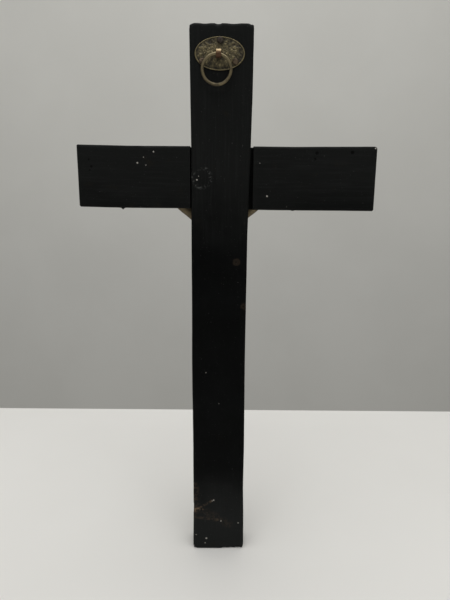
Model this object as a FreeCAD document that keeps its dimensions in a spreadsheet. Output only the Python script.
import FreeCAD, Part

# A wall crucifix: a cross of two half-lapped boards, a ring hanger nailed to its
# back, and a cast and bronzed figure under a brass scroll plate on its front.
#
# Frame: +Z up the upright, -Y the front that carries the figure, +X to the right
# of someone who looks at that front. The origin is the middle of the foot's end.

import math
import os

import Sketcher
from FreeCAD import Placement, Rotation, Vector

doc = FreeCAD.newDocument("wall_crucifix")

# ---------------------------------------------------------------- driving sizes
sheet = doc.addObject("Spreadsheet::Sheet", "dims")
SIZES = {
    # the two boards
    "upright_width": 40.0,
    "upright_length": 384.0,
    "board_depth": 19.0,
    "crossbar_width": 41.0,
    "crossbar_length": 201.8,
    "crossing_height": 288.6,
    "crossbar_shift": -4.4,
    "notch_width": 42.6,
    "notch_shift": -0.9,
    "lap_play": 0.4,
    "saw_overrun": 4.0,
    "corner_round": 0.9,
    # the brads that hold the lap
    "brad_radius": 0.8,
    "brad_length": 16.0,
    "brad_spread": 9.0,
    # the ring hanger
    "plate_length": 32.4,
    "plate_width": 20.2,
    "plate_thick": 0.8,
    "plate_height": 365.75,
    "plate_shift": 0.75,
    "eye_shift": 1.45,
    "eye_drop": 0.6,
    "eye_inner": 2.0,
    "eye_strip": 0.7,
    "eye_width": 3.4,
    "eye_legs": 9.0,
    "eye_sink": 0.1,
    "ring_radius": 9.2,
    "ring_wire": 1.05,
    "ring_seat": 0.35,
    "ring_lean": 7.5,
    # the nails of the hanger
    "tack_radius": 0.65,
    "tack_length": 11.0,
    "tack_head": 1.85,
    "tack_dome": 1.1,
    # the figure, and the nails that hold it
    "figure_height": 150.0,
    "figure_shift": 1.5,
    "spike_radius": 0.7,
    "spike_head": 1.9,
    "spike_dome": 1.3,
    "spike_bite": 8.0,
    # the scroll plate
    "scroll_length": 31.0,
    "scroll_width": 12.5,
    "scroll_thick": 1.1,
    "scroll_height": 346.0,
    "curl_radius": 1.7,
    "pin_radius": 0.5,
    "pin_head": 1.0,
    "pin_dome": 0.6,
    "pin_length": 7.0,
}
for row, (alias, value) in enumerate(SIZES.items(), start=1):
    sheet.set(f"A{row}", alias)
    sheet.set(f"B{row}", str(value))
    sheet.setAlias(f"B{row}", alias)
doc.recompute()


def size(alias):
    """A driving size as a plain number."""
    return float(getattr(sheet, alias))


FRONT = -size("board_depth") / 2
BACK = size("board_depth") / 2
OUT_OF_BACK = Rotation(Vector(0, 0, 1), Vector(0, 1, 0))
OUT_OF_FRONT = Rotation(Vector(0, 0, 1), Vector(0, -1, 0))
parts = []


def keep(feature, label):
    """Marks a feature as a finished sub-part with that name."""
    feature.Label = label
    parts.append(feature)
    return feature


# ------------------------------------------------------------------ body helpers
def new_body(label):
    return doc.addObject("PartDesign::Body", label + "_body")


def sketch_on(body, role, label, across="0", up="0", off="0"):
    """A sketch on one of the body's own planes, moved by the three expressions."""
    sketch = body.newObject("Sketcher::SketchObject", label)
    plane = next(f for f in body.Origin.OriginFeatures if f.Role == role)
    sketch.AttachmentSupport = [(plane, "")]
    sketch.MapMode = "FlatFace"
    sketch.setExpression(".AttachmentOffset.Base.x", across)
    sketch.setExpression(".AttachmentOffset.Base.y", up)
    sketch.setExpression(".AttachmentOffset.Base.z", off)
    return sketch


def draw_rectangle(sketch, wide, tall):
    """A rectangle about the sketch's origin, with both sides bound to expressions."""
    corners = [(-5, -5), (5, -5), (5, 5), (-5, 5)]
    for n, (x, y) in enumerate(corners):
        nx, ny = corners[(n + 1) % 4]
        sketch.addGeometry(Part.LineSegment(Vector(x, y, 0), Vector(nx, ny, 0)))
    for n in range(4):
        sketch.addConstraint(Sketcher.Constraint("Coincident", n, 2, (n + 1) % 4, 1))
    for n in (0, 2):
        sketch.addConstraint(Sketcher.Constraint("Horizontal", n))
    for n in (1, 3):
        sketch.addConstraint(Sketcher.Constraint("Vertical", n))
    sketch.addConstraint(Sketcher.Constraint("Symmetric", 0, 1, 1, 2, -1, 1))
    for name, side, bound in (("wide", 0, wide), ("tall", 1, tall)):
        at = sketch.addConstraint(Sketcher.Constraint("Distance", side, 10.0))
        sketch.renameConstraint(at, name)
        sketch.setExpression("Constraints." + name, bound)


def draw_circle(sketch, radius):
    """A circle on the sketch's origin, with its radius bound to an expression."""
    sketch.addGeometry(Part.Circle(Vector(0, 0, 0), Vector(0, 0, 1), 1.0))
    sketch.addConstraint(Sketcher.Constraint("Coincident", 0, 3, -1, 1))
    at = sketch.addConstraint(Sketcher.Constraint("Radius", 0, 1.0))
    sketch.renameConstraint(at, "radius")
    sketch.setExpression("Constraints.radius", radius)


def pad(body, sketch, length):
    feature = body.newObject("PartDesign::Pad", sketch.Name + "_pad")
    feature.Profile = sketch
    feature.setExpression("Length", length)
    doc.recompute()
    return feature


def cut(body, sketch, length, toward_front):
    """A pocket from a sketch on the XZ plane, towards the front or the back."""
    before = body.Shape.Volume
    feature = body.newObject("PartDesign::Pocket", sketch.Name + "_cut")
    feature.Profile = sketch
    feature.Reversed = toward_front
    feature.setExpression("Length", length)
    doc.recompute()
    if body.Shape.Volume > before - 1e-3:
        raise RuntimeError(f"{feature.Name} cuts nothing")
    return feature


def round_edges(body, feature):
    """Rounds every edge of a plain board."""
    fillet = body.newObject("PartDesign::Fillet", feature.Name + "_round")
    fillet.Base = (feature, [f"Edge{n + 1}" for n in range(len(feature.Shape.Edges))])
    fillet.setExpression("Radius", "dims.corner_round")
    doc.recompute()


def drill(body, label, across, up, depth, radius, face="back"):
    """A round hole sunk into one face of a board, for a nail."""
    off = "-dims.board_depth / 2" if face == "back" else "dims.board_depth / 2"
    sketch = sketch_on(body, "XZ_Plane", label, across, up, off)
    draw_circle(sketch, radius)
    cut(body, sketch, depth, toward_front=face == "back")


# ------------------------------------------------------------- primitive helpers
def primitive(kind, label, **bound):
    """A Part primitive whose named properties are bound to expressions."""
    solid = doc.addObject("Part::" + kind, label)
    for name, expression in bound.items():
        solid.setExpression(name, expression)
    return solid


def fuse(label, *shapes):
    joined = doc.addObject("Part::MultiFuse", label)
    joined.Shapes = list(shapes)
    doc.recompute()
    return joined


def take(label, base, tool):
    remains = doc.addObject("Part::Cut", label)
    remains.Base, remains.Tool = base, tool
    doc.recompute()
    return remains


def nail(label, kind, length, at, outward):
    """A domed nail: a pointed shank that ends under its head, which sits at the place given."""
    point = f"2 * dims.{kind}_radius"
    shank = primitive("Cylinder", label + "_shank", Radius=f"dims.{kind}_radius",
                      Height=f"{length} - {point}")
    shank.Placement.Base = Vector(0, 0, -shank.Height.Value)
    doc.recompute()
    shank.setExpression(".Placement.Base.z", f"-({length} - {point})")
    tip = primitive("Cone", label + "_tip", Radius1=f"dims.{kind}_radius * 0.2",
                    Radius2=f"dims.{kind}_radius", Height=point)
    tip.setExpression(".Placement.Base.z", f"-({length})")
    dome = primitive("Ellipsoid", label + "_dome", Radius1=f"dims.{kind}_dome",
                     Radius2=f"dims.{kind}_head", Radius3=f"dims.{kind}_head")
    dome.Angle1 = 0.0
    whole = fuse(label, shank, tip, dome)
    whole.Placement = Placement(at, outward)
    return keep(whole, label)


# --------------------------------------------------------------- places in common
CROSSING = size("crossing_height")
# The figure's own numbers below are for a height of 150, and this turns them to its real size.
NOMINAL_HEIGHT = 150.0
RATIO = f"dims.figure_height / {NOMINAL_HEIGHT}"
scale = size("figure_height") / NOMINAL_HEIGHT
TACKS = {"top": ("0.45", "7.8"), "left": ("12.15", "-4.7"), "right": ("-9.45", "-4.8")}
BRADS = {"upper": "-dims.brad_spread", "lower": "dims.brad_spread"}


def on_figure(side, forward, up):
    """A point on the figure: across, out from the boards' front, and up from the crossing."""
    across = size("figure_shift") + scale * side
    return Vector(across, FRONT - scale * forward, CROSSING + scale * up)


SHOULDER = (15.5, 7.5, -27.5)
ELBOW = (35.4, 6.0, -10.8)
WRIST = (53.0, 3.8, 4.8)
PALM = (58.0, 2.4, 9.8)
FINGERS = (64.0, 3.2, 15.0)
PALM_FACE = 5.15
FOOT_NAIL = (-0.1, 11.8, -151.0)
# Each oval of the trunk: up, across, forward, and its half sizes across and from back to front.
TRUNK = [
    (-24.6, 0.0, 7.8, 11.5, 4.4),
    (-28.6, 0.0, 7.9, 14.2, 6.2),
    (-36.0, 0.0, 8.4, 14.4, 8.2),
    (-45.0, 0.0, 8.0, 12.6, 7.6),
    (-55.0, 0.5, 7.4, 10.2, 6.6),
    (-64.0, 0.8, 7.6, 11.4, 7.2),
    (-75.0, 1.0, 8.3, 14.2, 8.4),
    (-84.0, 1.0, 9.0, 13.6, 8.4),
    (-92.0, 1.0, 10.2, 11.0, 7.2),
]


# ------------------------------------------------------------------- the upright
# One board from foot to top. Its front is notched to half depth for the crossbar.
def make_upright():
    body = new_body("upright")
    section = sketch_on(body, "XY_Plane", "upright_section")
    draw_rectangle(section, "dims.upright_width", "dims.board_depth")
    board = pad(body, section, "dims.upright_length")
    round_edges(body, board)
    notch = sketch_on(body, "XZ_Plane", "upright_notch", up="dims.crossing_height")
    draw_rectangle(notch, "dims.upright_width + dims.saw_overrun", "dims.crossbar_width + dims.lap_play")
    cut(body, notch, "dims.board_depth", toward_front=True)
    for name, across in BRADS.items():
        middle = sketch_on(body, "XZ_Plane", f"upright_brad_{name}", across,
                           f"dims.crossing_height - ({across})")
        draw_circle(middle, "dims.brad_radius")
        cut(body, middle, "dims.brad_length - dims.board_depth / 2", toward_front=False)
    for name, (across, up) in TACKS.items():
        drill(body, f"upright_tack_{name}", across, f"dims.plate_height + {up}",
              "dims.tack_length - dims.plate_thick", "dims.tack_radius")
    legs = sketch_on(body, "XZ_Plane", "upright_eye_slot", "dims.eye_shift",
                     "dims.plate_height - dims.eye_drop", "-dims.board_depth / 2")
    draw_rectangle(legs, "dims.eye_width", "2 * dims.eye_strip")
    cut(body, legs, "dims.eye_legs - dims.plate_thick", toward_front=True)
    drill(body, "upright_foot_spike", f"dims.figure_shift + {RATIO} * {FOOT_NAIL[0]}",
          f"dims.crossing_height + {RATIO} * {FOOT_NAIL[2]}",
          "dims.spike_bite", "dims.spike_radius", face="front")
    for name, sign in (("left", "-"), ("right", "")):
        drill(body, f"upright_scroll_pin_{name}", f"{sign}dims.scroll_length / 3",
              "dims.scroll_height", "dims.pin_length - dims.scroll_thick",
              "dims.pin_radius", face="front")
    keep(body, "upright")


# ------------------------------------------------------------------ the crossbar
# Notched in its back to half depth. The notch was cut wide and off the middle, so
# the joint shows a gap on one side of the upright and a hairline on the other.
def make_crossbar():
    body = new_body("crossbar")
    section = sketch_on(body, "YZ_Plane", "crossbar_section", up="dims.crossing_height",
                        off="dims.crossbar_shift - dims.crossbar_length / 2")
    draw_rectangle(section, "dims.board_depth", "dims.crossbar_width")
    board = pad(body, section, "dims.crossbar_length")
    round_edges(body, board)
    notch = sketch_on(body, "XZ_Plane", "crossbar_notch", "dims.notch_shift",
                      "dims.crossing_height")
    draw_rectangle(notch, "dims.notch_width", "dims.crossbar_width + dims.saw_overrun")
    cut(body, notch, "dims.board_depth", toward_front=False)
    for name, across in BRADS.items():
        drill(body, f"crossbar_brad_{name}", across, f"dims.crossing_height - ({across})",
              "dims.board_depth", "dims.brad_radius", face="front")
    for name, sign in (("left", -1), ("right", 1)):
        drill(body, f"crossbar_hand_spike_{name}",
              f"dims.figure_shift + {RATIO} * {sign * PALM[0]}",
              f"dims.crossing_height + {RATIO} * {PALM[2]}",
              "dims.spike_bite", "dims.spike_radius", face="front")
    keep(body, "crossbar")


# ----------------------------------------------------------------- the lap brads
# Two headless brads, driven from the front and painted over.
def make_lap_brads():
    for name, across in BRADS.items():
        brad = primitive("Cylinder", f"lap_brad_{name}", Radius="dims.brad_radius",
                         Height="dims.brad_length")
        side = size("brad_spread") * (-1 if across.startswith("-") else 1)
        brad.Placement = Placement(Vector(side, FRONT, CROSSING - side), OUT_OF_BACK)
        keep(brad, f"lap_brad_{name}")


# --------------------------------------------------------------- the ring hanger
def make_hanger_plate():
    """An oval backplate with three nail holes and a slot for the eye's legs."""
    outline = primitive("Ellipse", "plate_outline", MajorRadius="dims.plate_length / 2",
                        MinorRadius="dims.plate_width / 2")
    blank = doc.addObject("Part::Extrusion", "plate_blank")
    blank.Base = outline
    blank.Dir = Vector(0, 0, 1)
    blank.Solid = True
    blank.setExpression("LengthFwd", "dims.plate_thick")
    tools = []
    for name, (across, up) in TACKS.items():
        # The plate lies turned half round, so its own X runs against the cross's X.
        hole = primitive("Cylinder", f"plate_hole_{name}", Radius="dims.tack_radius",
                         Height="dims.plate_thick")
        hole.setExpression(".Placement.Base.x", f"dims.plate_shift - {across}")
        hole.setExpression(".Placement.Base.y", up)
        tools.append(hole)
    slot = primitive("Box", "plate_slot", Length="dims.eye_width",
                     Width="2 * dims.eye_strip", Height="dims.plate_thick")
    slot.setExpression(".Placement.Base.x", "dims.plate_shift - dims.eye_shift - dims.eye_width / 2")
    slot.setExpression(".Placement.Base.y", "-dims.eye_drop - dims.eye_strip")
    plate = take("plate_drilled", blank, fuse("plate_holes", slot, *tools))
    back_view = Rotation(Vector(-1, 0, 0), Vector(0, 0, 1), Vector(0, 1, 0), "ZXY")
    plate.Placement = Placement(
        Vector(size("plate_shift"), BACK, size("plate_height")), back_view)
    keep(plate, "hanger_plate")


def make_hanger_tacks():
    for name, (across, up) in TACKS.items():
        at = Vector(float(across), BACK + size("plate_thick"), size("plate_height") + float(up))
        nail(f"hanger_nail_{name}", "tack", "dims.tack_length", at, OUT_OF_BACK)


def eye_centre():
    proud = size("eye_inner") + size("eye_strip")
    return Vector(size("eye_shift"), BACK + size("plate_thick") + proud - size("eye_sink"),
                  size("plate_height") - size("eye_drop"))


def make_ring_eye():
    """A brass strip bent into an eye, with both legs driven through the plate."""
    centre = eye_centre()
    outer = primitive("Cylinder", "eye_outer", Radius="dims.eye_inner + dims.eye_strip",
                      Height="dims.eye_width")
    bore = primitive("Cylinder", "eye_bore", Radius="dims.eye_inner",
                     Height="dims.eye_width")
    along = Rotation(Vector(0, 0, 1), Vector(1, 0, 0))
    start = centre - Vector(size("eye_width") / 2, 0, 0)
    outer.Placement = Placement(start, along)
    bore.Placement = Placement(start, along)
    legs = primitive("Box", "eye_legs", Length="dims.eye_width", Height="2 * dims.eye_strip",
                     Width="dims.eye_legs + dims.eye_strip")
    legs.Placement.Base = Vector(
        centre.x - size("eye_width") / 2,
        BACK + size("plate_thick") - size("eye_legs"),
        centre.z - size("eye_strip"))
    keep(take("eye_strip", fuse("eye_blank", outer, legs), bore), "ring_eye")


def make_hanging_ring():
    """A round wire ring that hangs in the eye and leans a little to one side."""
    ring = primitive("Torus", "hanging_ring", Radius1="dims.ring_radius",
                     Radius2="dims.ring_wire")
    hinge = eye_centre() - Vector(0, 0, size("ring_seat"))
    lean = math.radians(size("ring_lean"))
    drop = Vector(math.sin(lean), 0, -math.cos(lean)) * size("ring_radius")
    ring.Placement = Placement(hinge + drop, OUT_OF_BACK)
    keep(ring, "hanging_ring")


# -------------------------------------------------------------------- the figure
def ball(label, centre, across, deep, tall, turn=None):
    """An ellipsoid of the figure: half sizes across, from back to front, and up."""
    lump = primitive(
        "Ellipsoid", label,
        Radius1=f"{RATIO} * {tall}",
        Radius2=f"{RATIO} * {across}",
        Radius3=f"{RATIO} * {deep}")
    lump.Placement = Placement(on_figure(*centre), turn or Rotation())
    return lump


def limb(label, start, end, thick_start, thick_end):
    """A tapering stretch of a limb between two joints."""
    a, b = on_figure(*start), on_figure(*end)
    taper = primitive("Cone", label,
                      Radius1=f"{RATIO} * {thick_start}",
                      Radius2=f"{RATIO} * {thick_end}")
    taper.Height = (b - a).Length
    taper.Placement = Placement(a, Rotation(Vector(0, 0, 1), b - a))
    return taper


def round_joint(label, centre, radius):
    """A ball at a knee, elbow, wrist or ankle."""
    joint = primitive("Sphere", label, Radius=f"{RATIO} * {radius}")
    joint.Placement.Base = on_figure(*centre)
    return joint


def mirrored(place, sign):
    return (place[0] * sign, place[1], place[2])


def wood_space(label):
    """The space that the boards fill, which trims the back of the casting flat."""
    block = primitive("Box", label, Length="2 * dims.crossbar_length",
                      Width="dims.board_depth", Height="dims.upright_length")
    block.setExpression(".Placement.Base.x", "-dims.crossbar_length")
    block.setExpression(".Placement.Base.y", "-dims.board_depth / 2")
    return block


def make_arm(name, sign):
    """One arm, cast by itself: it ends in a flat at the shoulder, where it is glued on."""
    joints = [mirrored(j, sign) for j in (SHOULDER, ELBOW, WRIST, PALM, FINGERS)]
    shoulder, elbow, wrist, palm, fingers = joints
    pieces = [
        limb(f"upper_arm_{name}", shoulder, elbow, 5.0, 4.1),
        round_joint(f"elbow_{name}", elbow, 4.3),
        limb(f"forearm_{name}", elbow, wrist, 4.0, 2.4),
        round_joint(f"wrist_{name}", wrist, 2.5),
        ball(f"palm_{name}", palm, 6.4, 2.5, 3.7, Rotation(Vector(0, 1, 0), -45 * sign)),
        limb(f"fingers_{name}", palm, fingers, 2.7, 2.2),
    ]
    arm = take(f"arm_trimmed_{name}", fuse(f"arm_fused_{name}", *pieces),
               wood_space(f"arm_back_{name}"))
    hole = primitive("Cylinder", f"palm_hole_{name}", Radius="dims.spike_radius",
                     Height="dims.figure_height / 10")
    hole.Placement = Placement(on_figure(palm[0], 0, palm[2]), OUT_OF_FRONT)
    return keep(take(f"arm_drilled_{name}", arm, hole), f"corpus_arm_{name}")


def trunk():
    """Trunk and cloth, lofted through ovals from the shoulders down to the hem."""
    ovals = []
    for n, (up, across, forward, wide, deep) in enumerate(TRUNK):
        oval = primitive("Ellipse", f"trunk_oval_{n}",
                         MajorRadius=f"{RATIO} * {wide}",
                         MinorRadius=f"{RATIO} * {deep}")
        oval.Placement.Base = on_figure(across, forward, up)
        ovals.append(oval)
    doc.recompute()
    loft = doc.addObject("Part::Loft", "trunk")
    loft.Sections = ovals
    loft.Solid = True
    doc.recompute()
    return loft


def make_figure():
    """Head, trunk, cloth, legs and crossed feet in one casting with a flat back."""
    arms = {name: make_arm(name, sign) for name, sign in (("left", -1), ("right", 1))}
    nod = Rotation(Vector(0, 1, 0), -16) * Rotation(Vector(1, 0, 0), 18)
    pieces = [
        trunk(),
        ball("head", (-3.0, 13.2, -12.2), 7.8, 8.8, 10.6, nod),
        limb("neck", (0.0, 8.5, -32.0), (-1.6, 11.0, -16.0), 4.8, 4.2),
        limb("collar", (-14.8, 7.5, -28.6), (14.8, 7.5, -28.6), 5.0, 5.0),
        limb("thigh_right", (-5.2, 7.9, -78.0), (-4.2, 15.0, -108.0), 7.4, 5.0),
        limb("thigh_left", (7.2, 7.7, -78.0), (5.4, 14.2, -107.5), 7.4, 5.0),
        round_joint("knee_right", (-4.2, 14.8, -108.5), 5.5),
        round_joint("knee_left", (5.4, 14.0, -108.0), 5.5),
        limb("shin_right", (-4.2, 14.6, -108.5), (-0.6, 9.6, -141.5), 4.8, 3.0),
        limb("shin_left", (5.4, 13.4, -108.0), (2.0, 5.6, -142.0), 4.8, 3.0),
        round_joint("ankle_right", (-0.6, 9.2, -141.0), 3.6),
        round_joint("ankle_left", (2.0, 5.2, -141.5), 3.6),
        limb("foot_right", (-0.6, 8.6, -141.0), (0.2, 8.4, -161.0), 3.1, 3.4),
        limb("foot_left", (2.0, 4.2, -141.5), (1.4, 3.3, -162.0), 3.1, 3.4),
    ]
    figure = take("figure_trimmed", fuse("figure_fused", *pieces), wood_space("figure_back"))
    hole = primitive("Cylinder", "foot_hole", Radius="dims.spike_radius",
                     Height="dims.figure_height / 8")
    hole.Placement = Placement(on_figure(FOOT_NAIL[0], 0, FOOT_NAIL[2]), OUT_OF_FRONT)
    for label, tool in (("figure_drilled", hole), ("figure_less_left", arms["left"]),
                        ("figure_less_right", arms["right"])):
        figure = take(label, figure, tool)
    keep(figure, "corpus_body")


def make_spikes():
    """The nails through the hands and through the crossed feet."""
    for name, sign in (("left", -1), ("right", 1)):
        at = on_figure(sign * PALM[0], PALM_FACE, PALM[2])
        nail(f"hand_nail_{name}", "spike",
             f"dims.spike_bite + {RATIO} * {PALM_FACE}", at, OUT_OF_FRONT)
    nail("foot_nail", "spike",
         f"dims.spike_bite + {RATIO} * {FOOT_NAIL[1]}",
         on_figure(*FOOT_NAIL), OUT_OF_FRONT)


# -------------------------------------------------------------- the scroll plate
# A blank scroll above the head: a flat strip with both ends curled forward.
def make_scroll():
    flat = primitive("Box", "scroll_flat", Length="dims.scroll_length",
                     Width="dims.scroll_thick", Height="dims.scroll_width")
    flat.setExpression(".Placement.Base.x", "-dims.scroll_length / 2")
    solid, hollow = [flat], []
    for name, sign in (("left", "-"), ("right", "")):
        curl = primitive("Cylinder", f"scroll_curl_{name}", Radius="dims.curl_radius",
                         Height="dims.scroll_width")
        core = primitive("Cylinder", f"scroll_core_{name}",
                         Radius="dims.curl_radius - dims.scroll_thick", Height="dims.scroll_width")
        for tube in (curl, core):
            tube.setExpression(".Placement.Base.x", f"{sign}dims.scroll_length / 2")
            tube.setExpression(".Placement.Base.y", "dims.scroll_thick - dims.curl_radius")
        pin = primitive("Cylinder", f"scroll_hole_{name}", Radius="dims.pin_radius",
                        Height="4 * dims.scroll_thick")
        pin.Placement = Placement(
            Vector(size("scroll_length") / 3 * (-1 if sign else 1), -1, size("scroll_width") / 2),
            OUT_OF_BACK)
        solid.append(curl)
        hollow += [core, pin]
    scroll = take("scroll", fuse("scroll_blank", *solid), fuse("scroll_holes", *hollow))
    low = size("scroll_height") - size("scroll_width") / 2
    scroll.Placement.Base = Vector(0, FRONT - size("scroll_thick"), low)
    keep(scroll, "titulus")
    for name, sign in (("left", -1), ("right", 1)):
        at = Vector(sign * size("scroll_length") / 3, FRONT - size("scroll_thick"),
                    size("scroll_height"))
        nail(f"titulus_pin_{name}", "pin", "dims.pin_length", at, OUT_OF_FRONT)


# ------------------------------------------------------------- build, check, save
def check_and_save():
    doc.recompute()
    for item in doc.Objects:
        if {"Invalid", "Error"} & set(item.State):
            raise RuntimeError(f"{item.Name} failed: {item.State}")
    os.makedirs("parts", exist_ok=True)
    for part in parts:
        shape = part.Shape
        if shape.isNull() or not shape.isValid() or not shape.Solids:
            raise RuntimeError(f"{part.Label} has no valid solid")
        shape.exportStep(os.path.join("parts", part.Label + ".step"))
        box = shape.BoundBox
        print(f"{part.Label:20s} solids {len(shape.Solids)}  {shape.Volume:10.2f} mm3"
              f"  x {box.XMin:7.2f} {box.XMax:7.2f}  y {box.YMin:6.2f} {box.YMax:6.2f}"
              f"  z {box.ZMin:7.2f} {box.ZMax:7.2f}")
    hinge = eye_centre() - Vector(0, 0, size("ring_seat"))
    print(f"ring hinge at {hinge.x:.3f} {hinge.y:.3f} {hinge.z:.3f}")


make_upright()
make_crossbar()
make_lap_brads()
make_hanger_plate()
make_hanger_tacks()
make_ring_eye()
make_hanging_ring()
make_figure()
make_spikes()
make_scroll()
check_and_save()
